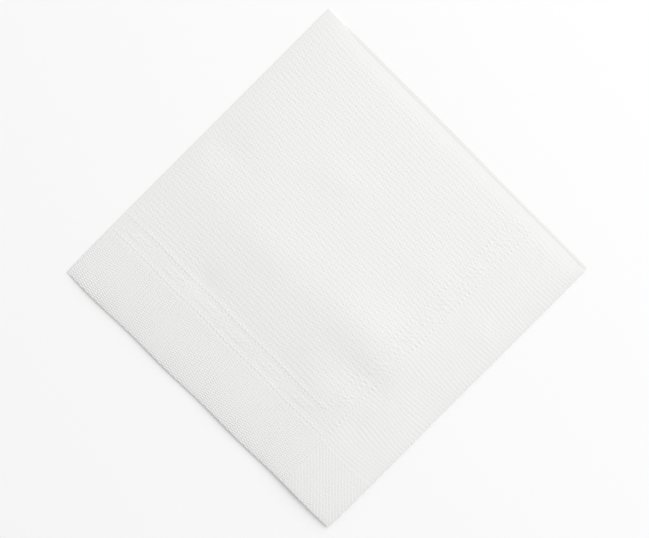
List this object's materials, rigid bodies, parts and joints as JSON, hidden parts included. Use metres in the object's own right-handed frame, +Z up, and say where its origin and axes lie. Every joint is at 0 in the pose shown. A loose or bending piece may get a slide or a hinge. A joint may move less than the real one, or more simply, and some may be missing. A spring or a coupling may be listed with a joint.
{
  "type": "paper napkin",
  "caption": "White tissue paper napkin folded in half twice into a square, with an embossed border of fine ribs and beads along its open edges; it lies flat on a table.",
  "frame": {"origin": "centre of the folded napkin's outline, on the plane it lies on", "axes": "+Z up from the table; +Y towards the first fold, which shows two stacked folded edges; -X towards the second fold; the open edges face +X and -Y"},
  "size_m": [0.128, 0.1282, 0.0027],
  "materials": {
    "tissue": "soft white embossed tissue, fully matt"
  },
  "bodies": {
    "root": {"napkin": "tissue"}
  },
  "joints": []
}
